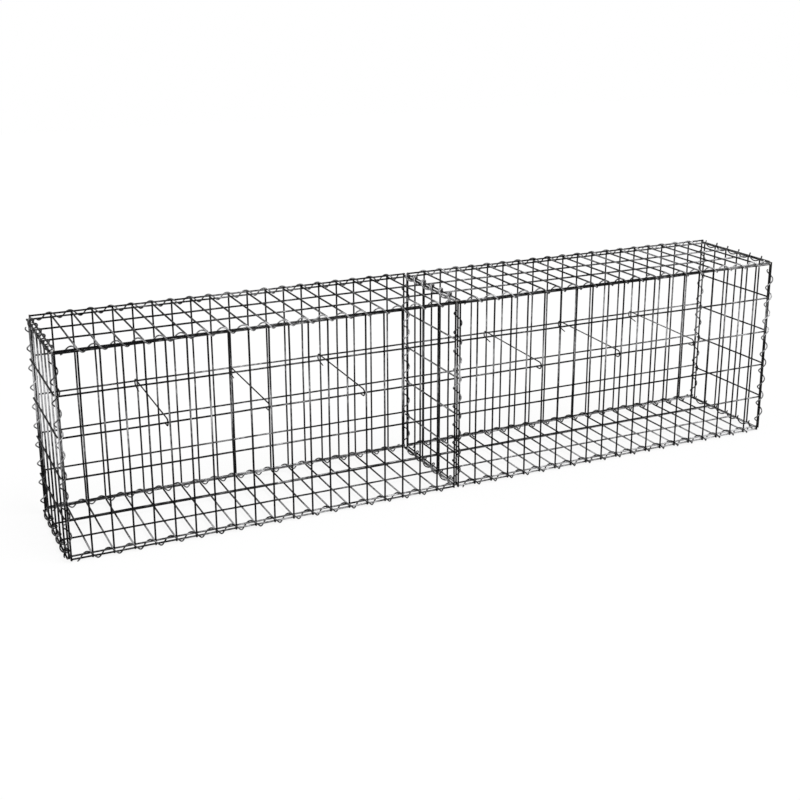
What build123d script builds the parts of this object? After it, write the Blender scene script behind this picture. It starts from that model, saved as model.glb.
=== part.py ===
"""A free-standing gabion wall: two welded-mesh bays in a row, closed with lids and laced with spiral wires.

Frame: X runs along the wall, the front faces -Y, Z is up, and the origin is under the middle of the wall.
Round wires are modelled as square bars with the same area, so that lengths, masses and seats are true.
"""
from build123d import *
from itertools import combinations
from math import ceil, cos, floor, hypot, pi, sin, sqrt
import os

os.makedirs("parts", exist_ok=True)

# Basket: sizes between the centre lines of its edge wires, and the mesh spaces that divide them
BAY_LENGTH = 1000.0
BASKET_DEPTH = 300.0
BASKET_HEIGHT = 500.0
BAY_SPACES = 20
ROW_SPACES = 5
LID_SPACES = 3
END_SPACES = 6

# Wires
MESH_WIRE = 4.5
SPIRAL_WIRE = 3.5
TIE_WIRE = 3.5

# Fits
WIRE_GAP = 0.3           # between separate wires that lie against each other
UNDER_SPACE = 1.3        # by which the bottom lacing hangs below the mesh that it holds
SPIRAL_MARGIN = 14.0     # from an edge's last mesh wire to the cut end of its spiral
SPIRAL_SIDES = 6         # straight lengths in one turn
CUT_SLACK = 0.02         # share of a straight length within which a cut end takes the place of a bend
TURNS_PER_ROW = 2        # turns of an upright spiral in one row of the mesh

# Directions from the spirals' axes, in the planes below, at the first mesh wire or row of each edge
WALL_EDGE_ANGLES = {("front", "top"): 160.0, ("front", "bottom"): 156.0,
                    ("back", "top"): 110.0, ("back", "bottom"): 157.0}
END_EDGE_ANGLES = {("left", "top"): 335.0, ("left", "bottom"): 245.0,
                   ("right", "top"): 175.0, ("right", "bottom"): 195.0}
DIVIDER_TOP_ANGLES = (155.0, 110.0)
DIVIDER_BOTTOM_ANGLE = 210.0
CORNER_ANGLES = {"front": 275.0, "back": 310.0}
MIDDLE_ANGLES = {"front": 335.0, "back": 10.0}

# Tie rods: hooked over a row wire of the front and back panels, beside an upright wire
TIE_UP_SPACES = 3        # rows of mesh below the tie rods
TIE_ALONG_SPACES = 5     # mesh spaces between tie rods
TIE_BESIDE = 1.2         # clearance to the upright wire
TIE_BEND = 6.0           # radius of a hook's centre line
TIE_BEND_SIDES = 4       # straight lengths in a hook's half turn
TIE_FRONT_TAIL = 14.0
TIE_BACK_TAIL = 28.0

# Square bars with the area of the round wires
bar_side = MESH_WIRE * sqrt(pi) / 2
spiral_side = SPIRAL_WIRE * sqrt(pi) / 2
tie_side = TIE_WIRE * sqrt(pi) / 2
half_bar = bar_side / 2
seat = bar_side + WIRE_GAP      # between centre lines of separate wires that lie against each other

# Levels of the row wires in the front and back panels, and of the wires laid between them
mesh_pitch = BAY_LENGTH / BAY_SPACES
row_pitch = BASKET_HEIGHT / ROW_SPACES
end_pitch = BASKET_DEPTH / END_SPACES
bottom_row = half_bar + WIRE_GAP + spiral_side + UNDER_SPACE
top_row = bottom_row + BASKET_HEIGHT
near_lift = seat                     # lid and base: lower wires, lying on the front panel's rows
far_lift = near_lift + bar_side      # lid and base: upper wires, welded on the lower ones
back_lift = far_lift + seat          # back panel: its rows lie on the lid and the base
end_lift = seat                      # end panels and divider: their rows, level with the base's lower wires

# Places across and along the wall
half_depth = BASKET_DEPTH / 2
wall_upright_y = half_depth + seat
wall_row_y = wall_upright_y - bar_side
bay_start = seat + half_bar
bay_end = bay_start + BAY_LENGTH
end_x = bay_end + seat + half_bar    # between the rows and the uprights of an end panel

BAYS = {"left": -1, "right": 1}
WALLS = {"front": -1, "back": 1}
ROWS = {"top": top_row, "bottom": bottom_row}


def steps(start, pitch, spaces):
    """Centre lines of wires at an even pitch."""
    return [start + pitch * i for i in range(spaces + 1)]


bay_wires = steps(bay_start, mesh_pitch, BAY_SPACES)
wall_rows = {"front": steps(bottom_row, row_pitch, ROW_SPACES),
             "back": steps(bottom_row + back_lift, row_pitch, ROW_SPACES)}
end_rows = steps(bottom_row + end_lift, row_pitch, ROW_SPACES)
runner_places = steps(-half_depth, BASKET_DEPTH / LID_SPACES, LID_SPACES)
end_uprights = steps(-half_depth, end_pitch, END_SPACES)


def straight_wire(start, end):
    """A bar along one axis, its centre line running between two points."""
    run = Vector(*end) - Vector(*start)
    middle = (Vector(*end) + Vector(*start)) / 2
    return Pos(middle) * Box(*(abs(length) or bar_side for length in run))


def mesh_panel(wires):
    """Bars welded into one panel where they cross."""
    first, *others = wires
    return first.fuse(*others).clean()


def wall_panel(side, wall):
    """Front or back panel of a bay: uprights outside, rows inside."""
    upright_y, row_y = WALLS[wall] * wall_upright_y, WALLS[wall] * wall_row_y
    low, high = wall_rows[wall][0] - half_bar, wall_rows[wall][-1] + half_bar
    near, far = side * (bay_start - half_bar), side * (bay_end + half_bar)
    uprights = [straight_wire((side * x, upright_y, low), (side * x, upright_y, high)) for x in bay_wires]
    rows = [straight_wire((near, row_y, z), (far, row_y, z)) for z in wall_rows[wall]]
    return mesh_panel(uprights + rows)


def flat_panel(side, cross_z, runner_z):
    """Lid or base of a bay: wires across the wall, and runners along it on the side of the fill."""
    front, back = -half_depth - half_bar, half_depth + half_bar
    near, far = side * (bay_start - half_bar), side * (bay_end + half_bar)
    cross_wires = [straight_wire((side * x, front, cross_z), (side * x, back, cross_z)) for x in bay_wires]
    runners = [straight_wire((near, y, runner_z), (far, y, runner_z)) for y in runner_places]
    return mesh_panel(cross_wires + runners)


def cross_panel(middle_x):
    """End panel or divider: rows on its left face, uprights on its right face."""
    row_x, upright_x = middle_x - half_bar, middle_x + half_bar
    low, high = end_rows[0] - half_bar, end_rows[-1] + half_bar
    front, back = -half_depth - half_bar, half_depth + half_bar
    rows = [straight_wire((row_x, front, z), (row_x, back, z)) for z in end_rows]
    uprights = [straight_wire((upright_x, y, low), (upright_x, y, high)) for y in end_uprights]
    return mesh_panel(rows + uprights)


def bar_corners(wires):
    """Section corners of mesh bars whose centre lines are seen end on."""
    return [(u + i * half_bar, v + j * half_bar) for u, v in wires for i in (-1, 1) for j in (-1, 1)]


def circle_through(points):
    """Centre of the circle through two points, on their diameter, or through three."""
    (ax, ay), (bx, by), *third = points
    if not third:
        return (ax + bx) / 2, (ay + by) / 2
    cx, cy = third[0]
    twice = 2 * (ax * (by - cy) + bx * (cy - ay) + cx * (ay - by))
    if abs(twice) < 1e-9:
        return circle_through(((ax, ay), (cx, cy)))
    a, b, c = ax * ax + ay * ay, bx * bx + by * by, cx * cx + cy * cy
    return ((a * (by - cy) + b * (cy - ay) + c * (ay - by)) / twice,
            (a * (cx - bx) + b * (ax - cx) + c * (bx - ax)) / twice)


def reach(centre, points):
    """Distance from a centre to the farthest of some points."""
    return max(hypot(u - centre[0], v - centre[1]) for u, v in points)


def snug_centre(wires):
    """Centre of the smallest circle round a bundle of mesh wires."""
    corners = bar_corners(wires)
    groups = list(combinations(corners, 2)) + list(combinations(corners, 3))
    return min((circle_through(group) for group in groups), key=lambda centre: reach(centre, corners))


def floor_centre(wires):
    """Centre of a circle round a bundle whose spiral lies on the floor."""
    middle = snug_centre(wires)[0]
    under = WIRE_GAP + spiral_side
    heights = [((u - middle) ** 2 + v ** 2 - under ** 2) / (2 * (v - under)) for u, v in bar_corners(wires)]
    return middle, max(heights)


def spiral(plane, centre, wires, span, pitch, at, angle):
    """A right-handed spiral wire of straight lengths, wound round a bundle of mesh wires.

    The plane's normal is the spiral's axis. The spiral passes the place `at` along the axis at `angle`
    and fills the span between its cut ends.
    """
    inner = reach(centre, bar_corners(wires)) + WIRE_GAP
    outer = inner + spiral_side
    turn = 2 * pi * (inner + outer) / 2
    half_width = spiral_side * hypot(1, pitch / turn) / 2
    corner_scale = 1 / cos(pi / SPIRAL_SIDES)
    step = pitch / SPIRAL_SIDES
    zero = at - pitch * angle / 360

    def bend(index):
        direction = 2 * pi * index / SPIRAL_SIDES
        return [Vector(centre[0] + radius * corner_scale * cos(direction),
                       centre[1] + radius * corner_scale * sin(direction),
                       zero + step * index + end * half_width)
                for radius, end in ((inner, -1), (inner, 1), (outer, 1), (outer, -1))]

    def section(place):
        index = floor(place)
        share = place - index
        edges = zip(bend(index), bend(index + 1))
        return [plane.from_local_coords(a * (1 - share) + b * share) for a, b in edges]

    start, end = (span[0] - zero) / step, (span[1] - zero) / step
    bends = range(floor(start + CUT_SLACK) + 1, ceil(end - CUT_SLACK))
    rings = [section(place) for place in (start, *bends, end)]
    faces = [polygon(rings[0]), polygon(rings[-1][::-1])]
    for a, b in zip(rings, rings[1:]):
        faces += [polygon((a[1], a[0], b[0], b[1])), polygon((a[3], a[2], b[2], b[3]))]
        faces += [polygon((a[2], a[1], b[1])), polygon((a[2], b[1], b[2]))]
        faces += [polygon((a[0], a[3], b[3])), polygon((a[0], b[3], b[0]))]
    return Solid(Shell(faces))


def polygon(points):
    """A flat face with straight edges."""
    return Face(Wire.make_polygon(points))


# Planes whose normals are the spirals' axes, with the second local axis up or, on uprights, to the back
ALONG = Plane(origin=(0, 0, 0), x_dir=(0, 1, 0), z_dir=(1, 0, 0))
ACROSS = Plane(origin=(0, 0, 0), x_dir=(-1, 0, 0), z_dir=(0, 1, 0))
UPRIGHT = Plane.XY


def wall_edge_spiral(side, wall, level):
    """Laces a wall panel to the lid or the base of its bay; the front bottom one lies on the floor."""
    way, row = WALLS[wall], ROWS[level]
    lift = {"front": 0.0, "back": back_lift}[wall]
    on_floor = (wall, level) == ("front", "bottom")
    panel_wire = (way * (wall_upright_y if on_floor else wall_row_y), row + lift)
    wires = [panel_wire, (way * half_depth, row + near_lift), (way * half_depth, row + far_lift)]
    centre = floor_centre(wires) if on_floor else snug_centre(wires)
    near, far = bay_start + SPIRAL_MARGIN, bay_end - SPIRAL_MARGIN
    span = sorted((side * near, side * far))
    return spiral(ALONG, centre, wires, span, mesh_pitch, side * bay_start, WALL_EDGE_ANGLES[wall, level])


def cross_edge_spiral(mesh_wires, middle_x, level, angle):
    """Laces an end panel or the divider to the lid or base wires beside it."""
    row = ROWS[level]
    lid_or_base = row + {"top": far_lift, "bottom": near_lift}[level]
    wires = [(-x, lid_or_base) for x in mesh_wires]
    wires += [(-middle_x + half_bar, row + end_lift), (-middle_x - half_bar, row + end_lift)]
    centre = snug_centre(wires) if level == "top" else floor_centre(wires)
    span = (-half_depth + SPIRAL_MARGIN, half_depth - SPIRAL_MARGIN)
    return spiral(ACROSS, centre, wires, span, end_pitch, -half_depth, angle)


def end_edge_spiral(bay, level):
    """Laces an end panel to the lid or the base of its bay."""
    side = BAYS[bay]
    return cross_edge_spiral([side * bay_end], side * end_x, level, END_EDGE_ANGLES[bay, level])


def divider_edge_spiral(level, angle):
    """Laces both lids or both bases to the divider."""
    return cross_edge_spiral([-bay_start, bay_start], 0.0, level, angle)


def corner_spiral(side, wall):
    """Laces a wall panel to the end panel."""
    edge_y = WALLS[wall] * half_depth
    wires = [(side * bay_end, WALLS[wall] * wall_upright_y),
             (side * end_x - half_bar, edge_y), (side * end_x + half_bar, edge_y)]
    return upright_spiral(wires, CORNER_ANGLES[wall])


def middle_spiral(wall):
    """Laces the wall panels of both bays to the divider."""
    upright_y, edge_y = WALLS[wall] * wall_upright_y, WALLS[wall] * half_depth
    wires = [(-bay_start, upright_y), (bay_start, upright_y), (-half_bar, edge_y), (half_bar, edge_y)]
    return upright_spiral(wires, MIDDLE_ANGLES[wall])


def upright_spiral(wires, angle):
    """A spiral from the base to the lid, passing clear of every row."""
    span = (bottom_row + end_lift + SPIRAL_MARGIN, top_row - SPIRAL_MARGIN)
    return spiral(UPRIGHT, snug_centre(wires), wires, span, row_pitch / TURNS_PER_ROW, bottom_row, angle)


def strip(points, width):
    """A flat bar of one width along a bent line, mitred at its bends."""
    points = [Vector(*point) for point in points]
    ways = [(b - a).normalized() for a, b in zip(points, points[1:])]
    left, right = [], []
    for point, before, after in zip(points, ways[:1] + ways, ways + ways[-1:]):
        across = (before + after).normalized().rotate(Axis.Z, 90)
        offset = across * (width / 2 / across.dot(before.rotate(Axis.Z, 90)))
        left.append(point + offset)
        right.append(point - offset)
    return polygon(left + right[::-1])


def hook(bend_y, rod_z, way, tail):
    """Points of a hook from its rod to the end of its tail, below the rod."""
    turns = [pi / 2 - pi * side / TIE_BEND_SIDES for side in range(TIE_BEND_SIDES + 1)]
    bend = [(bend_y + way * TIE_BEND * cos(turn), rod_z - TIE_BEND + TIE_BEND * sin(turn)) for turn in turns]
    return bend + [(bend_y - way * tail, rod_z - 2 * TIE_BEND)]


def tie_rod(x):
    """A rod across the basket, hooked over a row wire of the front and back panels."""
    over_row = half_bar + WIRE_GAP + tie_side / 2
    bend_y = wall_row_y + half_bar
    front = hook(-bend_y, wall_rows["front"][TIE_UP_SPACES] + over_row, -1, TIE_FRONT_TAIL)
    back = hook(bend_y, wall_rows["back"][TIE_UP_SPACES] + over_row, 1, TIE_BACK_TAIL)
    profile = Plane.YZ.location * strip(front[::-1] + back, tie_side)
    beside = x - half_bar - TIE_BESIDE - tie_side / 2
    return Pos(beside, 0, 0) * extrude(profile, tie_side / 2, both=True)


nodes = {}
for name, side in BAYS.items():
    for wall in WALLS:
        nodes[f"{wall}_panel_{name}"] = wall_panel(side, wall)
        nodes[f"{wall}_top_spiral_{name}"] = wall_edge_spiral(side, wall, "top")
        nodes[f"{wall}_bottom_spiral_{name}"] = wall_edge_spiral(side, wall, "bottom")
        nodes[f"{wall}_corner_spiral_{name}"] = corner_spiral(side, wall)
    nodes[f"lid_{name}"] = flat_panel(side, top_row + far_lift, top_row + near_lift)
    nodes[f"base_{name}"] = flat_panel(side, bottom_row + near_lift, bottom_row + far_lift)
    nodes[f"end_panel_{name}"] = cross_panel(side * end_x)
    nodes[f"end_top_spiral_{name}"] = end_edge_spiral(name, "top")
    nodes[f"end_bottom_spiral_{name}"] = end_edge_spiral(name, "bottom")
    for number, wire in enumerate(range(TIE_ALONG_SPACES, BAY_SPACES, TIE_ALONG_SPACES), start=1):
        nodes[f"tie_rod_{name}_{number}"] = tie_rod(side * bay_wires[wire])
nodes["divider_panel"] = cross_panel(0.0)
for number, angle in enumerate(DIVIDER_TOP_ANGLES, start=1):
    nodes[f"divider_top_spiral_{number}"] = divider_edge_spiral("top", angle)
nodes["divider_bottom_spiral"] = divider_edge_spiral("bottom", DIVIDER_BOTTOM_ANGLE)
for wall in WALLS:
    nodes[f"middle_spiral_{wall}"] = middle_spiral(wall)

for name, solid in nodes.items():
    export_step(solid, f"parts/{name}.step")
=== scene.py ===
"""Gabion wall: welded mesh panels, lacing spirals and tie rods as round galvanised wire.

Every length is in metres. X runs along the wall, the front faces -Y and Z is up. The places of all wires come
from the boxes and corners of the frame's nodes. Each piece stands for one node and carries its name.
"""
from cmath import exp, phase
from math import atan2, cos, cosh, pi, radians, sin, sqrt
import random

import bpy
from bpy.props import FloatProperty, FloatVectorProperty, IntProperty, PointerProperty
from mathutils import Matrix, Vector


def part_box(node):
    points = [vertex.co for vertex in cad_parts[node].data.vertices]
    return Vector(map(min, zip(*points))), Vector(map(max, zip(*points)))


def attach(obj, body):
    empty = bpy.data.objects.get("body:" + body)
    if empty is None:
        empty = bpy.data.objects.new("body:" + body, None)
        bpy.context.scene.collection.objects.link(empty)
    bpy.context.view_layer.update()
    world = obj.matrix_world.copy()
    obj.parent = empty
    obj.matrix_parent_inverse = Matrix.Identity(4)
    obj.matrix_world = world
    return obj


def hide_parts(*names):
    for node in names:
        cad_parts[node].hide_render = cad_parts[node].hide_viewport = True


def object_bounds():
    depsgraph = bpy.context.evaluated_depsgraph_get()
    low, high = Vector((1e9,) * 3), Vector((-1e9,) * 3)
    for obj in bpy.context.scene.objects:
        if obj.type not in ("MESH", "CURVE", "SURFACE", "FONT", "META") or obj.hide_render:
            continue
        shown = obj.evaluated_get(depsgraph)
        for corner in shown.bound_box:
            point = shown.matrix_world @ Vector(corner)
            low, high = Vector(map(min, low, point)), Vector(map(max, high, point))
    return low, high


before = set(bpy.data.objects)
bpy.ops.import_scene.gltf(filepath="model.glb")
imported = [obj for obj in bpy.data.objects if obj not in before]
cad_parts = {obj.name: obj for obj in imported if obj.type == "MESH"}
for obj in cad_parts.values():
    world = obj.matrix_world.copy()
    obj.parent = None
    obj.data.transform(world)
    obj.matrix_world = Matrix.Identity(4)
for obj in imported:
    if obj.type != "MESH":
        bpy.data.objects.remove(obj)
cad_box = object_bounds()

bl_info = {
    "name": "Gabion Wall",
    "version": (1, 0, 0),
    "blender": (4, 5, 0),
    "location": "3D View > Sidebar > Gabion wall",
    "description": "Makes the wires, finishes and stage of a gabion wall",
    "category": "Add Mesh",
}

BODY = "root"
BAYS = ("left", "right")
WALLS = ("front", "back")
X, Y, Z = 0, 1, 2
AXES = (Vector((1, 0, 0)), Vector((0, 1, 0)), Vector((0, 0, 1)))
ROUND_FROM_SQUARE = 2 / sqrt(pi)    # diameter of the round wire with the area of a square bar of side 1


def thickness(node):
    """The smallest side of a node's box."""
    low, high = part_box(node)
    return min(high - low)


BAR = thickness("lid_left") / 2     # a panel is two bars thick
TIE_BAR = thickness("tie_rod_left_1")


class GabionWireSizes(bpy.types.PropertyGroup):
    """Sizes of the wires and their details."""

    mesh_wire: FloatProperty(
        name="Mesh wire", description="Diameter of the wires of the welded panels",
        default=BAR * ROUND_FROM_SQUARE, unit="LENGTH", precision=5)
    spiral_wire: FloatProperty(
        name="Spiral wire", description="Diameter of the lacing wires",
        default=0.0035, unit="LENGTH", precision=5)
    tie_wire: FloatProperty(
        name="Tie wire", description="Diameter of the tie rods",
        default=TIE_BAR * ROUND_FROM_SQUARE, unit="LENGTH", precision=5)
    bay_spaces: IntProperty(
        name="Spaces along a bay", description="Mesh spaces between the uprights of one bay", default=20)
    row_spaces: IntProperty(
        name="Rows of spaces", description="Mesh spaces between the bottom and the top row", default=5)
    lid_spaces: IntProperty(
        name="Spaces across a lid", description="Mesh spaces between the runners of a lid or base", default=3)
    end_spaces: IntProperty(
        name="Spaces across an end", description="Mesh spaces between the uprights of an end panel",
        default=6)
    turns_per_row: IntProperty(
        name="Turns in a row", description="Turns of an upright spiral in one row of the mesh", default=2)
    facets: IntProperty(
        name="Facets", description="Flat faces round a wire", default=16, min=6)
    step: FloatProperty(
        name="Step", description="Length of a wire between two rings of its mesh",
        default=0.025, unit="LENGTH", precision=4)
    turn_steps: IntProperty(
        name="Steps in a turn", description="Rings in one turn of a spiral", default=28)
    sway: FloatProperty(
        name="Sway", description="How far a mesh wire strays to the side of a straight line",
        default=0.0007, unit="LENGTH", precision=5)
    lift: FloatProperty(
        name="Lift", description="How far a mesh wire strays out of its layer",
        default=0.00012, unit="LENGTH", precision=5)
    cut_chamfer: FloatProperty(
        name="Cut chamfer", description="Length of the pinched edge of a sheared wire end",
        default=0.0005, unit="LENGTH", precision=5)
    weld_radius: FloatProperty(
        name="Weld radius", description="Radius of the metal squeezed out between two welded wires",
        default=0.0023, unit="LENGTH", precision=5)
    weld_height: FloatProperty(
        name="Weld height", description="Half the thickness of the metal squeezed out of a weld",
        default=0.0011, unit="LENGTH", precision=5)
    tie_seat: FloatProperty(
        name="Tie seat", description="Height of a tie rod's front end above its lowest point in the frame",
        default=0.017, unit="LENGTH", precision=4)
    tie_bend: FloatProperty(
        name="Tie bend", description="Radius of the centre line of a tie rod's hooks",
        default=0.009, unit="LENGTH", precision=4)
    tie_droop: FloatProperty(
        name="Tail droop", description="Slope of the end of a tie rod's back hook",
        default=radians(12), unit="ROTATION")
    tie_front_tail: FloatProperty(
        name="Front tail", description="Straight end of a tie rod's front hook",
        default=0.02, unit="LENGTH", precision=4)
    tie_back_tail: FloatProperty(
        name="Back tail", description="Straight end of a tie rod's back hook",
        default=0.03, unit="LENGTH", precision=4)


class GabionFinishes(bpy.types.PropertyGroup):
    """Colours, painted highlight and painted reflection, and surface of the galvanised wires."""

    # Painted reflection: a near-black colour that stands in for the dark surroundings reflected in the wire
    painted_dark_reflection: FloatVectorProperty(
        name="Dull zinc", description="Zinc that has gone almost black",
        default=(0.008, 0.008, 0.0085, 1), size=4, subtype="COLOR", min=0, max=1)
    # Painted highlight: a light zinc colour that stands in for the lamps reflected in the wire
    bright: FloatVectorProperty(
        name="Bright zinc", description="Zinc that is still bright",
        default=(0.6, 0.6, 0.61, 1), size=4, subtype="COLOR", min=0, max=1)
    # Painted highlight on the upright wires: the height where it is greatest, its climb along the wall and
    # its fade
    painted_highlight_height: FloatProperty(
        name="Bright height", description="Height at which the upright wires are brightest",
        default=0.325, unit="LENGTH", precision=3)
    painted_highlight_rise: FloatProperty(
        name="Bright rise", description="Climb of the bright height along the wall, for each metre",
        default=0.035)
    painted_highlight_spread: FloatProperty(
        name="Bright spread", description="Distance over which the brightness of the upright wires fades",
        default=0.11, unit="LENGTH", precision=3)
    weld_scale: FloatVectorProperty(
        name="Weld scale", description="Burnt zinc at the welds",
        default=(0.02, 0.019, 0.018, 1), size=4, subtype="COLOR", min=0, max=1)
    cut_steel: FloatVectorProperty(
        name="Cut steel", description="Bare steel of the cut ends",
        default=(0.14, 0.13, 0.12, 1), size=4, subtype="COLOR", min=0, max=1)
    smoothest: FloatProperty(
        name="Smoothest", description="Roughness of the smoothest zinc", default=0.28, subtype="FACTOR")
    roughest: FloatProperty(
        name="Roughest", description="Roughness of the dullest zinc", default=0.55, subtype="FACTOR")


class GabionStageSettings(bpy.types.PropertyGroup):
    """Camera, lamps and floor."""

    camera_place: FloatVectorProperty(
        name="Camera place", description="Where the camera stands",
        default=(-1.4502, -2.8886, 1.3243), size=3, subtype="TRANSLATION")
    camera_turn: FloatVectorProperty(
        name="Camera turn", description="How the camera is turned",
        default=(radians(73.439), radians(0.1221), radians(-25.2462)), size=3, subtype="EULER")
    lens: FloatProperty(
        name="Lens", description="Focal length of the camera in millimetres", default=56.822)
    lens_rise: FloatProperty(
        name="Lens rise", description="Vertical shift of the lens, as a share of the frame's width",
        default=-0.072)
    key_strength: FloatProperty(
        name="Key lamp", description="Strength of the lamp above the front", default=2.0)
    fill_strength: FloatProperty(
        name="Fill lamp", description="Strength of the lamp on the left", default=0.6)
    sky_light: FloatProperty(
        name="Sky light", description="Strength of the light from all round", default=0.55)
    floor_size: FloatProperty(
        name="Floor size", description="Side of the square floor", default=16.0, unit="LENGTH")
    floor_glow: FloatProperty(
        name="Floor glow", description="Share of the floor's white that no shadow dims", default=0.88,
        subtype="FACTOR")


class Shape:
    """The growing mesh of one piece."""

    def __init__(self):
        self.points = []
        self.places = []
        # painted light at each point, from painted dark reflection at 0 and below to painted highlight at 1,
        # before random stretches and flecks are added
        self.painted_lights = []
        self.faces = []
        self.finishes = []
        self.smooth = []

    def ring(self, points, places, painted_light):
        """Adds a ring of points and returns their numbers."""
        first = len(self.points)
        self.points += points
        self.places += places
        self.painted_lights += [painted_light] * len(points)
        return list(range(first, len(self.points)))

    def face(self, corners, finish, smooth):
        """Adds a face."""
        self.faces.append(corners)
        self.finishes.append(finish)
        self.smooth.append(smooth)

    def bridge(self, a, b, finish):
        """Joins two rings with smooth faces."""
        for i in range(len(a)):
            j = (i + 1) % len(a)
            self.face((a[i], a[j], b[j], b[i]), finish, True)

    def piece(self, node, materials):
        """Makes the object that stands for a node."""
        mesh = bpy.data.meshes.new(node)
        mesh.from_pydata(self.points, [], self.faces)
        for material in materials:
            mesh.materials.append(material)
        mesh.polygons.foreach_set("material_index", self.finishes)
        mesh.polygons.foreach_set("use_smooth", self.smooth)
        places = mesh.attributes.new("wire_place", "FLOAT_VECTOR", "POINT")
        places.data.foreach_set("vector", [number for place in self.places for number in place])
        painted_lights = mesh.attributes.new("wire_shine", "FLOAT", "POINT")
        painted_lights.data.foreach_set("value", self.painted_lights)
        mesh.update()
        made = bpy.data.objects.new(f"{node}_wire", mesh)
        bpy.context.scene.collection.objects.link(made)
        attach(made, BODY)
        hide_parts(node)
        return made


WIRE, CUT, WELD = 0, 1, 2           # places of the materials on a piece
CUT_PINCH = 0.82                    # radius of a sheared end, as a share of the wire's
PLACE_SPREAD = 40.0                 # how far apart two wires lie in the pattern of the finish
OWN_SHINE = 0.12                    # how much brighter or duller than its neighbours a wire may be


def sweep(shape, stations, radius, facets, chamfer, painted_light, rng):
    """Adds a round wire with sheared ends.

    A station is a point of the centre line with two unit vectors across it. The function passed for the
    painted light gives, at a point, how much highlight or shade is painted on the wire there.
    """
    start = rng.uniform(0, PLACE_SPREAD)
    cuts = (rng.uniform(0, 2 * pi), rng.uniform(0, 2 * pi))
    rings = []
    along = start
    last = len(stations) - 1
    before = stations[0][0]
    own_shine = rng.uniform(-OWN_SHINE, OWN_SHINE)
    for number, (centre, side, normal) in enumerate(stations):
        along += (centre - before).length
        before = centre
        end = 0 if number == 0 else 1 if number == last else None
        points, places = [], []
        for facet in range(facets):
            turn = 2 * pi * facet / facets
            out = side * cos(turn) + normal * sin(turn)
            reach = radius if end is None else radius * CUT_PINCH
            point = centre + out * reach
            if end is not None:
                inward = (stations[1][0] - centre) if end == 0 else (stations[last - 1][0] - centre)
                slant = chamfer * (1 - cos(turn - cuts[end])) / 2
                point = point + inward.normalized() * slant
            points.append(point)
            places.append((radius * cos(turn), radius * sin(turn), along))
        rings.append(shape.ring(points, places, own_shine + painted_light(centre)))
    for a, b in zip(rings, rings[1:]):
        shape.bridge(a, b, WIRE)
    shape.face(tuple(reversed(rings[0])), CUT, False)
    shape.face(tuple(rings[-1]), CUT, False)


WAVES = ((0.6, (0.5, 1.1)), (0.3, (0.17, 0.3)), (0.1, (0.06, 0.12)))    # share of the sway, and lengths
SMALLEST_WAVE = 0.4                 # smallest height of a wave, as a share of its greatest
SWELL_LENGTHS = (0.2, 0.5)


class MeshWire:
    """A wire of a welded panel: almost straight, along one axis."""

    def __init__(self, run, across, layer, start, end, place, level, sizes, rng):
        self.run, self.across, self.layer = run, across, layer
        self.start, self.end = start, end
        self.place, self.level = place, level
        self.rng = rng
        self.waves = [(share * sizes.sway * rng.uniform(SMALLEST_WAVE, 1), rng.uniform(*lengths),
                       rng.uniform(0, 1)) for share, lengths in WAVES]
        self.swell = (sizes.lift, rng.uniform(*SWELL_LENGTHS), rng.uniform(0, 1))

    def aside(self, along):
        """How far the wire strays to the side."""
        return sum(reach * sin(2 * pi * (along / length + shift)) for reach, length, shift in self.waves)

    def point(self, along):
        """A point of the centre line."""
        reach, length, shift = self.swell
        found = Vector((0, 0, 0))
        found[self.run] = along
        found[self.across] = self.place + self.aside(along)
        found[self.layer] = self.level + reach * sin(2 * pi * (along / length + shift))
        return found

    def add(self, shape, sizes, painted_light):
        """Adds the wire to its panel."""
        chamfer = sizes.cut_chamfer
        count = max(2, round((self.end - self.start) / sizes.step))
        inner = [self.start + chamfer + (self.end - self.start - 2 * chamfer) * i / count
                 for i in range(count + 1)]
        places = [self.start, *inner, self.end]
        side, normal = AXES[(self.run + 1) % 3], AXES[(self.run + 2) % 3]
        stations = [(self.point(along), side, normal) for along in places]
        sweep(shape, stations, sizes.mesh_wire / 2, sizes.facets, chamfer, painted_light, self.rng)


WELD_FACETS = 12
WELD_RINGS = 5
WELD_RADII = (0.9, 1.12)            # range of the radius of a weld, as a share of the usual one
WELD_HEIGHTS = (0.85, 1.15)
WELD_WOBBLE = (0.93, 1.07)


def weld(shape, centre, normal_axis, sizes, rng):
    """Adds the metal squeezed out round the spot where two wires are welded."""
    side, other, normal = AXES[(normal_axis + 1) % 3], AXES[(normal_axis + 2) % 3], AXES[normal_axis]
    radius = sizes.weld_radius * rng.uniform(*WELD_RADII)
    height = sizes.weld_height * rng.uniform(*WELD_HEIGHTS)
    wobble = [rng.uniform(*WELD_WOBBLE) for _ in range(WELD_FACETS)]
    rings = []
    for level in range(1, WELD_RINGS + 1):
        slope = pi * level / (WELD_RINGS + 1)
        points = []
        for facet in range(WELD_FACETS):
            turn = 2 * pi * facet / WELD_FACETS
            out = side * cos(turn) + other * sin(turn)
            points.append(centre + out * radius * wobble[facet] * sin(slope) + normal * height * cos(slope))
        rings.append(shape.ring(points, [tuple(point) for point in points], 0))
    for a, b in zip(rings, rings[1:]):
        shape.bridge(b, a, WELD)
    shape.face(tuple(rings[0]), WELD, True)
    shape.face(tuple(reversed(rings[-1])), WELD, True)


def evenly(low, high, spaces):
    """Places from low to high with equal spaces between them."""
    return [low + (high - low) * i / spaces for i in range(spaces + 1)]


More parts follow.
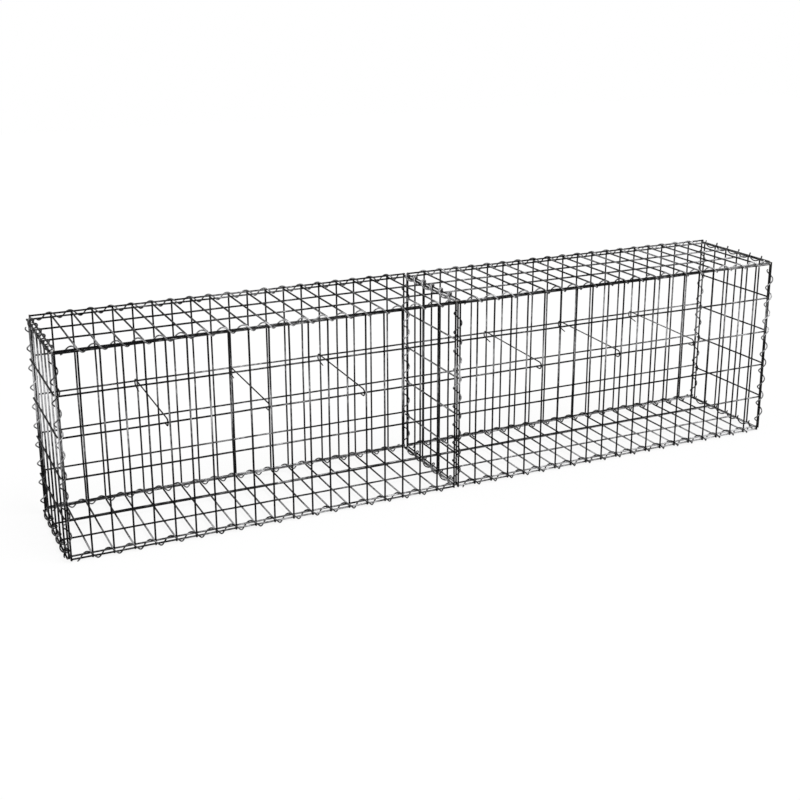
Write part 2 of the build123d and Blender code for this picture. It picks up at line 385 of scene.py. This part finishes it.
def panel(node, layer, first, second, sizes, materials):
    """Makes a welded panel from its node's box.

    The first wires lie on the side of the panel that `layer`'s sign names, the second on the other.
    Each set of wires is the axis that they run along, the spaces between them and their shine.
    """
    axis, sign = layer
    low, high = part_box(node)
    rng = random.Random(node)
    shape = Shape()
    levels = (low[axis] + BAR / 2, high[axis] - BAR / 2)
    first_level, second_level = levels if sign < 0 else levels[::-1]
    sets = []
    for (run, spaces, _), level in ((first, first_level), (second, second_level)):
        across = 3 - axis - run
        places = evenly(low[across] + BAR / 2, high[across] - BAR / 2, spaces)
        sets.append([MeshWire(run, across, axis, low[run], high[run], place, level, sizes, rng)
                     for place in places])
    for wires, (_, _, painted_light) in zip(sets, (first, second)):
        for wire in wires:
            wire.add(shape, sizes, painted_light)
    for a in sets[0]:
        for b in sets[1]:
            centre = Vector((0, 0, 0))
            centre[a.run] = b.place + b.aside(a.place)
            centre[b.run] = a.place + a.aside(b.place)
            centre[axis] = (first_level + second_level) / 2
            weld(shape, centre, axis, sizes, rng)
    return shape.piece(node, materials)


SPIRAL_SLACK = 0.012                # share of a spiral's radius by which its turns differ
SLACK_TURNS = (2.3, 3.7)            # turns from one tight turn to the next


def spiral(node, pitch, sizes, painted_light, materials):
    """Makes a lacing spiral: its axis, radius and turning come from its node's box and corners."""
    low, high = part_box(node)
    size = high - low
    axis = max(range(3), key=lambda i: size[i])
    u, v = (axis + 1) % 3, (axis + 2) % 3
    centre = (low + high) / 2
    radius = min(size[u], size[v]) / 2 - sizes.spiral_wire / 2
    turning = 0
    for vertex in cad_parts[node].data.vertices:
        direction = atan2(vertex.co[v] - centre[v], vertex.co[u] - centre[u])
        turning += exp(1j * (direction - 2 * pi * vertex.co[axis] / pitch))
    zero = phase(turning)
    rng = random.Random(node)
    slack_turns, slack_shift = rng.uniform(*SLACK_TURNS), rng.uniform(0, 1)
    margin = sizes.spiral_wire / 2
    start, end = low[axis] + margin, high[axis] - margin
    count = max(2, round((end - start) / pitch * sizes.turn_steps))
    rise = pitch / (2 * pi)
    stations = []
    for along in evenly(start, end, count):
        angle = zero + 2 * pi * along / pitch
        squeeze = 1 - SPIRAL_SLACK * (1 + sin(2 * pi * (along / pitch / slack_turns + slack_shift)))
        out = AXES[u] * cos(angle) + AXES[v] * sin(angle)
        round_ = AXES[v] * cos(angle) - AXES[u] * sin(angle)
        tangent = (round_ * radius + AXES[axis] * rise).normalized()
        point = Vector((0, 0, 0))
        point[u], point[v], point[axis] = centre[u], centre[v], along
        stations.append((point + out * radius * squeeze, out, tangent.cross(out)))
    shape = Shape()
    sweep(shape, stations, sizes.spiral_wire / 2, sizes.facets, sizes.cut_chamfer, painted_light, rng)
    return shape.piece(node, materials)


HOOK_STEPS = 14                     # rings round a hook
ROD_STEPS = 12                      # lengths of the straight part of a tie rod


def tie_rod(node, sizes, painted_light, materials):
    """Makes a tie rod: a wire that rises to the back, with a hook round a row of each wall at its ends."""
    low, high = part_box(node)
    x = (low.x + high.x) / 2
    bend = sizes.tie_bend
    front_high, back_high = low.z + TIE_BAR / 2 + sizes.tie_seat, high.z - TIE_BAR / 2
    front_low, back_low = front_high - 2 * bend, back_high - 2 * bend
    front_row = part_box("front_panel_left")[1].y - BAR / 2
    back_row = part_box("back_panel_left")[0].y + BAR / 2
    front, back = front_row + bend - (sizes.mesh_wire + sizes.tie_wire) / 2, back_row
    rng = random.Random(node)
    path = [(front + sizes.tie_front_tail, front_low), (front + sizes.cut_chamfer, front_low)]
    path += [(front - bend * sin(pi * i / HOOK_STEPS), front_low + bend - bend * cos(pi * i / HOOK_STEPS))
             for i in range(HOOK_STEPS + 1)]
    path += list(zip(evenly(front, back, ROD_STEPS)[1:-1], evenly(front_high, back_high, ROD_STEPS)[1:-1]))
    droop = sizes.tie_droop
    path += [(back + bend * sin(turn), back_low + bend + bend * cos(turn))
             for turn in evenly(0, pi - droop, HOOK_STEPS)]
    end = Vector((0, *path[-1]))
    forward = Vector((0, -cos(droop), -sin(droop)))
    path += [(end + forward * length).yz for length in (sizes.cut_chamfer, sizes.tie_back_tail)]
    points = [Vector((x, y, z)) for y, z in path]
    stations = []
    for i, point in enumerate(points):
        tangent = (points[min(i + 1, len(points) - 1)] - points[max(i - 1, 0)]).normalized()
        stations.append((point, AXES[X], tangent.cross(AXES[X])))
    shape = Shape()
    sweep(shape, stations, sizes.tie_wire / 2, sizes.facets, sizes.cut_chamfer, painted_light, rng)
    return shape.piece(node, materials)


def node_maker(owner):
    """Empties the node tree of a material or a world, and returns a function that adds nodes to it."""
    owner.use_nodes = True
    tree = owner.node_tree
    tree.nodes.clear()

    def make(kind, settings=None, **inputs):
        node = tree.nodes.new(kind)
        for name, value in (settings or {}).items():
            setattr(node, name, value)
        for name, value in inputs.items():
            socket = node.inputs[name.replace("_", " ")]
            if isinstance(value, bpy.types.NodeSocket):
                tree.links.new(value, socket)
            else:
                socket.default_value = value
        return node

    return make


MIDDLE = {"From_Min": 0.3, "From_Max": 0.7}     # range that most of a noise lies in
LINE_PATTERN = {"Scale": 1600.0, "Detail": 3.0}
LINE_STRETCH = (1.0, 1.0, 0.03)     # the drawn lines are much longer than wide
GRAIN_SCALE = 700.0
GRAIN_SHARE = 0.35                  # share of the grains in the speckle; the rest is drawn lines
PATCH_STRETCH = (60.0, 60.0, 1.0)   # a random stretch of painted light, which lightens or darkens the wire, is long, and doesn't reach all round the wire
PATCH_CONTRAST = 0.42
FLECK_PATTERN = {"Scale": 90.0, "Detail": 2.0}
FLECK_CONTRAST = 0.2
MOTTLE = {"To_Min": 0.7, "To_Max": 1.35}        # brightness of the darkest and the lightest speckle
METAL = {"To_Min": 0.3, "To_Max": 0.9}          # how metallic the wire is in painted dark reflection and in painted highlight
ZINC_RELIEF = {"Strength": 0.35, "Distance": 0.0002}
ZINC_GLOSS = 0.08
ZINC_GLOSS_TINT = (0.2, 0.2, 0.2, 1)


def zinc(name, finishes, patches):
    """Galvanised wire: drawn lines along it, zinc grains, and a colour mixed from painted dark reflection to
    painted highlight by the painted light of each point and by random long stretches and small flecks that
    raise or lower it.

    `patches` is the number of those stretches in a metre of wire.
    """
    material = bpy.data.materials.new(name)
    make = node_maker(material)
    link = material.node_tree.links.new
    place = make("ShaderNodeAttribute", {"attribute_name": "wire_place"}).outputs["Vector"]
    painted_light = make("ShaderNodeAttribute", {"attribute_name": "wire_shine"}).outputs["Fac"]
    stretched = make("ShaderNodeMapping", Vector=place, Scale=LINE_STRETCH).outputs["Vector"]
    lines = make("ShaderNodeTexNoise", Vector=stretched, **LINE_PATTERN).outputs["Fac"]
    grains = make("ShaderNodeTexVoronoi", Vector=place, Scale=GRAIN_SCALE).outputs["Color"]
    grain = make("ShaderNodeSeparateColor", Color=grains).outputs["Red"]
    speckle = make("ShaderNodeMix", {"data_type": "FLOAT"})
    speckle.inputs["Factor"].default_value = GRAIN_SHARE
    link(lines, speckle.inputs[2])
    link(grain, speckle.inputs[3])
    long_place = make("ShaderNodeMapping", Vector=place, Scale=PATCH_STRETCH).outputs["Vector"]
    long_noise = make("ShaderNodeTexNoise", Vector=long_place, Scale=patches, Detail=3.0).outputs["Fac"]
    short_noise = make("ShaderNodeTexNoise", Vector=place, **FLECK_PATTERN).outputs["Fac"]
    stretches = make("ShaderNodeMapRange", Value=long_noise, **MIDDLE,
                     To_Min=-PATCH_CONTRAST, To_Max=PATCH_CONTRAST).outputs["Result"]
    flecks = make("ShaderNodeMapRange", Value=short_noise, **MIDDLE,
                  To_Min=-FLECK_CONTRAST, To_Max=FLECK_CONTRAST).outputs["Result"]
    uneven = make("ShaderNodeMath", {"operation": "ADD"})
    link(stretches, uneven.inputs[0])
    link(flecks, uneven.inputs[1])
    shone = make("ShaderNodeMath", {"operation": "ADD"})
    link(uneven.outputs["Value"], shone.inputs[0])
    link(painted_light, shone.inputs[1])
    # Tone from painted dark reflection at 0 to painted highlight at 1
    tone = make("ShaderNodeMapRange", {"interpolation_type": "SMOOTHSTEP"}, Value=shone.outputs["Value"],
                From_Min=0.0, From_Max=1.0).outputs["Result"]
    mottled = make("ShaderNodeMapRange", Value=speckle.outputs[0], **MOTTLE)
    colour = make("ShaderNodeMix", {"data_type": "RGBA"})
    colour.inputs[6].default_value = finishes.painted_dark_reflection
    colour.inputs[7].default_value = finishes.bright
    link(tone, colour.inputs["Factor"])
    shade = make("ShaderNodeVectorMath", {"operation": "SCALE"}, Scale=mottled.outputs["Result"])
    link(colour.outputs[2], shade.inputs[0])
    # Where the highlight is painted, the wire is also more metallic
    metal = make("ShaderNodeMapRange", Value=tone, **METAL).outputs["Result"]
    rough = make("ShaderNodeMapRange", Value=speckle.outputs[0], **MIDDLE,
                 To_Min=finishes.smoothest, To_Max=finishes.roughest).outputs["Result"]
    relief = make("ShaderNodeBump", Height=speckle.outputs[0], **ZINC_RELIEF).outputs["Normal"]
    shader = make("ShaderNodeBsdfPrincipled", Metallic=metal, Roughness=rough, Normal=relief)
    shader.inputs["Specular IOR Level"].default_value = ZINC_GLOSS
    shader.inputs["Specular Tint"].default_value = ZINC_GLOSS_TINT
    link(shade.outputs["Vector"], shader.inputs["Base Color"])
    output = make("ShaderNodeOutputMaterial")
    link(shader.outputs["BSDF"], output.inputs["Surface"])
    return material


SCALE_MOTTLE = {"To_Min": 0.6, "To_Max": 1.6}
SCALE_RELIEF = {"Strength": 0.5, "Distance": 0.0003}
ROUGHNESS_SPREAD = 0.12


def scaled(name, colour, roughness, metallic, scale):
    """Burnt or bare metal, mottled and uneven, with `scale` setting how fine."""
    material = bpy.data.materials.new(name)
    make = node_maker(material)
    link = material.node_tree.links.new
    place = make("ShaderNodeAttribute", {"attribute_name": "wire_place"}).outputs["Vector"]
    patches = make("ShaderNodeTexNoise", Vector=place, Scale=scale, Detail=4.0).outputs["Fac"]
    mottled = make("ShaderNodeMapRange", Value=patches, **MIDDLE, **SCALE_MOTTLE)
    shade = make("ShaderNodeVectorMath", {"operation": "SCALE"}, Scale=mottled.outputs["Result"])
    shade.inputs[0].default_value = colour[:3]
    rough = make("ShaderNodeMapRange", Value=patches, **MIDDLE, To_Min=roughness - ROUGHNESS_SPREAD,
                 To_Max=roughness + ROUGHNESS_SPREAD).outputs["Result"]
    relief = make("ShaderNodeBump", Height=patches, **SCALE_RELIEF).outputs["Normal"]
    shader = make("ShaderNodeBsdfPrincipled", Metallic=metallic, Roughness=rough, Normal=relief)
    link(shade.outputs["Vector"], shader.inputs["Base Color"])
    output = make("ShaderNodeOutputMaterial")
    link(shader.outputs["BSDF"], output.inputs["Surface"])
    return material


PATCHES = {"mesh": 10.0, "lacing": 26.0, "tie": 14.0}     # random stretches of painted light in a metre of each kind of wire


def finish(name, context):
    """The materials of one kind of wire, made once: the wire, its cut ends and its welds."""
    finishes = context.scene.gabion_finishes
    made = bpy.data.materials
    wire = made.get(f"{name}_zinc") or zinc(f"{name}_zinc", finishes, PATCHES[name])
    cut = made.get("cut_steel") or scaled(
        "cut_steel", finishes.cut_steel, roughness=0.5, metallic=0.9, scale=900.0)
    burnt = made.get("weld_scale") or scaled(
        "weld_scale", finishes.weld_scale, roughness=0.6, metallic=0.6, scale=700.0)
    return (wire, cut, burnt) if name == "mesh" else (wire, cut)


LOWEST_ROW = 0.05                   # height below which only the lowest row of a panel lies
EDGE_POWER = 4                      # how closely the painted highlight on the edges of the bases keeps to their outer runners
HOOK_POWER = 6                      # how closely the painted shade on the ends of a tie rod keeps to its hooks


def bump(value, middle, width):
    """1 at the middle, and fading to nothing over the width."""
    return 1 / cosh(2 * (value - middle) / width)


def long_painted_light(amount, stretches=()):
    """Painted light that is even but for stretches of painted highlight, each a place along the wall, a
    length and a gain.
    """
    return lambda point: amount + sum(gain * bump(point.x, place, length)
                                      for place, length, gain in stretches)


def row_painted_light(amount, stretches, bottom):
    """As the painted light along the wall, with `bottom` more painted highlight on the lowest row."""
    painted_light = long_painted_light(amount, stretches)
    return lambda point: painted_light(point) + bottom * max(0, 1 - point.z / LOWEST_ROW)


def runner_painted_light(amount, rise, edges):
    """Painted highlight that changes by `rise` for each metre of the wall, with `edges` more at front and
    back.
    """
    half = cad_box[1][Y]
    return lambda point: amount + rise * point.x + edges * (point.y / half) ** EDGE_POWER


def tie_painted_light(amount, rise, hooks):
    """Painted light that changes by `rise` for each metre of the wall, with `hooks` more on the hooks, which
    paints shade there when it is negative.
    """
    half = cad_box[1][Y]
    return lambda point: amount + rise * point.x + hooks * (point.y / half) ** HOOK_POWER


def upright_painted_light(finishes, base, gain, lift=0, widening=1):
    """A painted highlight that is greatest at one height, which climbs a little along the wall.

    `lift` raises that height and `widening` makes the painted highlight longer.
    """
    def painted_light(point):
        height = finishes.painted_highlight_height + finishes.painted_highlight_rise * point.x + lift
        return base + gain * bump(point.z, height, finishes.painted_highlight_spread * widening)

    return painted_light


def cross_painted_light(front, back):
    """Painted light that changes evenly from the front of the basket to its back."""
    low, high = cad_box
    return lambda point: front + (back - front) * (point.y - low[Y]) / (high[Y] - low[Y])


def pitches(sizes):
    """Pitch of the mesh along a bay, up a wall panel and across an end panel."""
    low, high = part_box("front_panel_left")
    along = (high.x - low.x - BAR) / sizes.bay_spaces
    up = (high.z - low.z - BAR) / sizes.row_spaces
    low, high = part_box("divider_panel")
    across = (high.y - low.y - BAR) / sizes.end_spaces
    return along, up, across


# Painted light, from the colour of painted dark reflection at 0 and below to that of painted highlight at 1.
# A stretch is a place along the wall, a length and a gain.
# Painted highlight on the upright wires of the front and back panels, greatest at one height
UPRIGHTS_BASE = -0.46
UPRIGHTS_GAIN = {"left": 0.8, "right": 0.9}
# Painted highlight in stretches along the rows, and more of it on the lowest row
ROWS_BASE = -0.3
ROW_STRETCHES = ((-0.45, 0.35, 0.5), (0.2, 0.3, 0.3), (1.02, 0.45, 0.65))
LOWEST_ROW_GAIN = {"front": 0.4, "back": 0.3}
# Painted highlight in stretches along the lid runners and the top spirals
LID_RUNNERS_BASE = -0.25
LID_STRETCHES = ((-0.45, 0.3, 0.35), (0.12, 0.22, 0.4), (1.02, 0.45, 0.75))
# Painted highlight on the base runners: rising along the wall and more on the outer runners
BASE_RUNNERS = {"amount": 0.08, "rise": 0.35, "edges": 0.45}
CROSS_PAINTED_LIGHTS = {                    # painted light of the cross wires at the front and at the back
    ("lid", "left"): (0.4, -0.35), ("lid", "right"): (0.0, 0.3),
    ("base", "left"): (0.75, -0.35), ("base", "right"): (0.75, -0.2),
}
# Painted highlight on the uprights of the end panels and the divider, higher and longer on the left end, and
# painted light of their rows by panel
LEFT_END_UPRIGHTS = {"base": -0.45, "gain": 1.3, "lift": 0.08, "widening": 2}
CROSS_UPRIGHTS = {"base": -0.3, "gain": 0.4}
CROSS_ROWS = {"end_panel_left": -0.3, "end_panel_right": 0, "divider_panel": 0.3}
# Painted light of the spirals: more on the top spirals of the divider, and at one height on the upright
# spirals
WALL_SPIRALS_BASE = 0.15
END_SPIRALS = 0.1
DIVIDER_SPIRALS = {"divider_top_spiral_1": 0.5, "divider_top_spiral_2": 0.5, "divider_bottom_spiral": 0.1}
UPRIGHT_SPIRALS = {"base": 0.15, "gain": 0.45}
# Painted highlight on the tie rods, rising along the wall, and painted shade on their hooks
TIES = {"amount": 0, "rise": 0.6, "hooks": -0.55}


class GABION_OT_wall_panels(bpy.types.Operator):
    """Make the front and back panels of both bays"""

    bl_idname = "gabion.wall_panels"
    bl_label = "Front and back panels"

    def execute(self, context):
        sizes = context.scene.gabion_sizes
        finishes = context.scene.gabion_finishes
        materials = finish("mesh", context)
        for bay in BAYS:
            uprights = upright_painted_light(finishes, UPRIGHTS_BASE, UPRIGHTS_GAIN[bay])
            for wall, outside in (("front", -1), ("back", 1)):
                rows = row_painted_light(ROWS_BASE, ROW_STRETCHES, LOWEST_ROW_GAIN[wall])
                panel(f"{wall}_panel_{bay}", (Y, outside), (Z, sizes.bay_spaces, uprights),
                      (X, sizes.row_spaces, rows), sizes, materials)
        return {"FINISHED"}


class GABION_OT_lids_and_bases(bpy.types.Operator):
    """Make the lid and the base of both bays"""

    bl_idname = "gabion.lids_and_bases"
    bl_label = "Lids and bases"

    def execute(self, context):
        sizes = context.scene.gabion_sizes
        materials = finish("mesh", context)
        lid_runners = long_painted_light(LID_RUNNERS_BASE, LID_STRETCHES)
        base_runners = runner_painted_light(**BASE_RUNNERS)
        for bay in BAYS:
            for kind, outside, runners in (("lid", 1, lid_runners), ("base", -1, base_runners)):
                cross_wires = cross_painted_light(*CROSS_PAINTED_LIGHTS[kind, bay])
                panel(f"{kind}_{bay}", (Z, outside), (Y, sizes.bay_spaces, cross_wires),
                      (X, sizes.lid_spaces, runners), sizes, materials)
        return {"FINISHED"}


class GABION_OT_end_panels(bpy.types.Operator):
    """Make the two end panels and the divider between the bays"""

    bl_idname = "gabion.end_panels"
    bl_label = "End panels and divider"

    def execute(self, context):
        sizes = context.scene.gabion_sizes
        finishes = context.scene.gabion_finishes
        materials = finish("mesh", context)
        for node, rows in CROSS_ROWS.items():
            uprights = LEFT_END_UPRIGHTS if node == "end_panel_left" else CROSS_UPRIGHTS
            panel(node, (X, 1), (Z, sizes.end_spaces, upright_painted_light(finishes, **uprights)),
                  (Y, sizes.row_spaces, long_painted_light(rows)), sizes, materials)
        return {"FINISHED"}


class GABION_OT_wall_spirals(bpy.types.Operator):
    """Make the spirals that lace the lids and bases to the front and back panels"""

    bl_idname = "gabion.wall_spirals"
    bl_label = "Spirals along the wall"

    def execute(self, context):
        sizes = context.scene.gabion_sizes
        materials = finish("lacing", context)
        along, _, _ = pitches(sizes)
        for bay in BAYS:
            for wall in WALLS:
                for level, stretches in (("top", LID_STRETCHES), ("bottom", ())):
                    painted_light = long_painted_light(WALL_SPIRALS_BASE, stretches)
                    spiral(f"{wall}_{level}_spiral_{bay}", along, sizes, painted_light, materials)
        return {"FINISHED"}


class GABION_OT_cross_spirals(bpy.types.Operator):
    """Make the spirals across the wall, at the end panels and the divider"""

    bl_idname = "gabion.cross_spirals"
    bl_label = "Spirals across the wall"

    def execute(self, context):
        sizes = context.scene.gabion_sizes
        materials = finish("lacing", context)
        _, _, across = pitches(sizes)
        for bay in BAYS:
            for level in ("top", "bottom"):
                spiral(f"end_{level}_spiral_{bay}", across, sizes, long_painted_light(END_SPIRALS), materials)
        for node, painted_light in DIVIDER_SPIRALS.items():
            spiral(node, across, sizes, long_painted_light(painted_light), materials)
        return {"FINISHED"}


class GABION_OT_upright_spirals(bpy.types.Operator):
    """Make the upright spirals at the corners and at the divider"""

    bl_idname = "gabion.upright_spirals"
    bl_label = "Upright spirals"

    def execute(self, context):
        sizes = context.scene.gabion_sizes
        painted_light = upright_painted_light(context.scene.gabion_finishes, **UPRIGHT_SPIRALS)
        materials = finish("lacing", context)
        _, up, _ = pitches(sizes)
        for wall in WALLS:
            for node in [f"middle_spiral_{wall}", *(f"{wall}_corner_spiral_{bay}" for bay in BAYS)]:
                spiral(node, up / sizes.turns_per_row, sizes, painted_light, materials)
        return {"FINISHED"}


class GABION_OT_tie_rods(bpy.types.Operator):
    """Make the tie rods that hold the front and back panels together"""

    bl_idname = "gabion.tie_rods"
    bl_label = "Tie rods"

    def execute(self, context):
        sizes = context.scene.gabion_sizes
        materials = finish("tie", context)
        for node in sorted(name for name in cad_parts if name.startswith("tie_rod")):
            tie_rod(node, sizes, tie_painted_light(**TIES), materials)
        return {"FINISHED"}


def seen_white(tree, make):
    """A factor that is 1 for rays from the camera, from a gloss or through glass."""
    rays = make("ShaderNodeLightPath").outputs
    glossy = make("ShaderNodeMath", {"operation": "MAXIMUM"})
    tree.links.new(rays["Is Camera Ray"], glossy.inputs[0])
    tree.links.new(rays["Is Glossy Ray"], glossy.inputs[1])
    clear = make("ShaderNodeMath", {"operation": "MAXIMUM"})
    tree.links.new(glossy.outputs["Value"], clear.inputs[0])
    tree.links.new(rays["Is Transmission Ray"], clear.inputs[1])
    return clear.outputs["Value"]


def light_sky(stage):
    """A plain white surrounding, dimmer for the light that it gives than for what is seen of it."""
    world = bpy.data.worlds.new("surrounding")
    bpy.context.scene.world = world
    make = node_maker(world)
    tree = world.node_tree
    dim = make("ShaderNodeBackground", Strength=stage.sky_light)
    white = make("ShaderNodeBackground", Strength=1.0)
    for background in (dim, white):
        background.inputs["Color"].default_value = (1, 1, 1, 1)
    chosen = make("ShaderNodeMixShader")
    tree.links.new(seen_white(tree, make), chosen.inputs[0])
    tree.links.new(dim.outputs[0], chosen.inputs[1])
    tree.links.new(white.outputs[0], chosen.inputs[2])
    output = make("ShaderNodeOutputWorld")
    tree.links.new(chosen.outputs[0], output.inputs["Surface"])


FLOOR_WHITE = 1.01                  # how white the floor looks where no shadow falls
FLOOR_TONES = {"To_Min": 0.86, "To_Max": 0.9}


def floor_material(stage, light):
    """Floor that is just white where nothing dims the light that falls on it."""
    material = bpy.data.materials.new("floor_white")
    make = node_maker(material)
    tree = material.node_tree
    grain = make("ShaderNodeTexNoise", Scale=3.0, Detail=2.0).outputs["Fac"]
    shade = make("ShaderNodeMapRange", Value=grain, **FLOOR_TONES).outputs["Result"]
    plain = make("ShaderNodeBsdfDiffuse")
    tree.links.new(shade, plain.inputs["Color"])
    glow = make("ShaderNodeEmission", Strength=stage.floor_glow)
    shadowed = make("ShaderNodeBsdfDiffuse")
    share = (FLOOR_WHITE - stage.floor_glow) / light
    shadowed.inputs["Color"].default_value = (share, share, share, 1)
    seen = make("ShaderNodeAddShader")
    tree.links.new(glow.outputs[0], seen.inputs[0])
    tree.links.new(shadowed.outputs[0], seen.inputs[1])
    chosen = make("ShaderNodeMixShader")
    tree.links.new(seen_white(tree, make), chosen.inputs[0])
    tree.links.new(plain.outputs[0], chosen.inputs[1])
    tree.links.new(seen.outputs[0], chosen.inputs[2])
    output = make("ShaderNodeOutputMaterial")
    tree.links.new(chosen.outputs[0], output.inputs["Surface"])
    return material


KEY_LAMP = (Vector((0.8, -1.2, 2.4)), radians(35))      # where a lamp stands and how wide it looks
FILL_LAMP = (Vector((-2.6, -0.6, 1.2)), radians(50))


def lamp(name, direction, softness, strength):
    """Makes a soft lamp, far away in one direction, and returns how brightly it lights the floor."""
    data = bpy.data.lights.new(name, "SUN")
    data.energy = strength
    data.angle = softness
    made = bpy.data.objects.new(name, data)
    made.location = direction
    made.rotation_euler = direction.to_track_quat("Z", "Y").to_euler()
    bpy.context.scene.collection.objects.link(made)
    return direction.normalized().z * strength / pi


class GABION_OT_stage(bpy.types.Operator):
    """Make the floor, the lamps, the surrounding light and the camera"""

    bl_idname = "gabion.stage"
    bl_label = "Stage"

    def execute(self, context):
        stage = context.scene.gabion_stage
        light = stage.sky_light
        light += lamp("key", *KEY_LAMP, stage.key_strength)
        light += lamp("fill", *FILL_LAMP, stage.fill_strength)
        half = stage.floor_size / 2
        mesh = bpy.data.meshes.new("floor")
        corners = [(-half, -half, 0), (half, -half, 0), (half, half, 0), (-half, half, 0)]
        mesh.from_pydata(corners, [], [(0, 1, 2, 3)])
        mesh.materials.append(floor_material(stage, light))
        floor = bpy.data.objects.new("floor", mesh)
        context.scene.collection.objects.link(floor)
        light_sky(stage)
        camera_data = bpy.data.cameras.new("camera")
        camera_data.lens = stage.lens
        camera_data.shift_y = stage.lens_rise
        camera = bpy.data.objects.new("camera", camera_data)
        camera.location = stage.camera_place
        camera.rotation_euler = stage.camera_turn
        context.scene.collection.objects.link(camera)
        context.scene.camera = camera
        context.scene.view_settings.view_transform = "Standard"
        return {"FINISHED"}


STEPS = (
    GABION_OT_stage,
    GABION_OT_wall_panels,
    GABION_OT_lids_and_bases,
    GABION_OT_end_panels,
    GABION_OT_wall_spirals,
    GABION_OT_cross_spirals,
    GABION_OT_upright_spirals,
    GABION_OT_tie_rods,
)


class GABION_PT_sidebar(bpy.types.Panel):
    """Lists the steps that make the gabion wall, and their sizes and colours"""

    bl_idname = "GABION_PT_sidebar"
    bl_label = "Gabion wall"
    bl_space_type = "VIEW_3D"
    bl_region_type = "UI"
    bl_category = "Gabion wall"

    def draw(self, context):
        for step in STEPS:
            self.layout.operator(step.bl_idname)
        for group in (context.scene.gabion_sizes, context.scene.gabion_finishes, context.scene.gabion_stage):
            box = self.layout.box()
            for name in group.__annotations__:
                box.prop(group, name)


CLASSES = (GabionWireSizes, GabionFinishes, GabionStageSettings, *STEPS, GABION_PT_sidebar)


def register():
    for item in CLASSES:
        bpy.utils.register_class(item)
    bpy.types.Scene.gabion_sizes = PointerProperty(type=GabionWireSizes)
    bpy.types.Scene.gabion_finishes = PointerProperty(type=GabionFinishes)
    bpy.types.Scene.gabion_stage = PointerProperty(type=GabionStageSettings)


def unregister():
    del bpy.types.Scene.gabion_stage
    del bpy.types.Scene.gabion_finishes
    del bpy.types.Scene.gabion_sizes
    for item in reversed(CLASSES):
        bpy.utils.unregister_class(item)


def main():
    register()
    for step in STEPS:
        family, name = step.bl_idname.split(".")
        getattr(getattr(bpy.ops, family), name)()


if __name__ == "__main__":
    main()
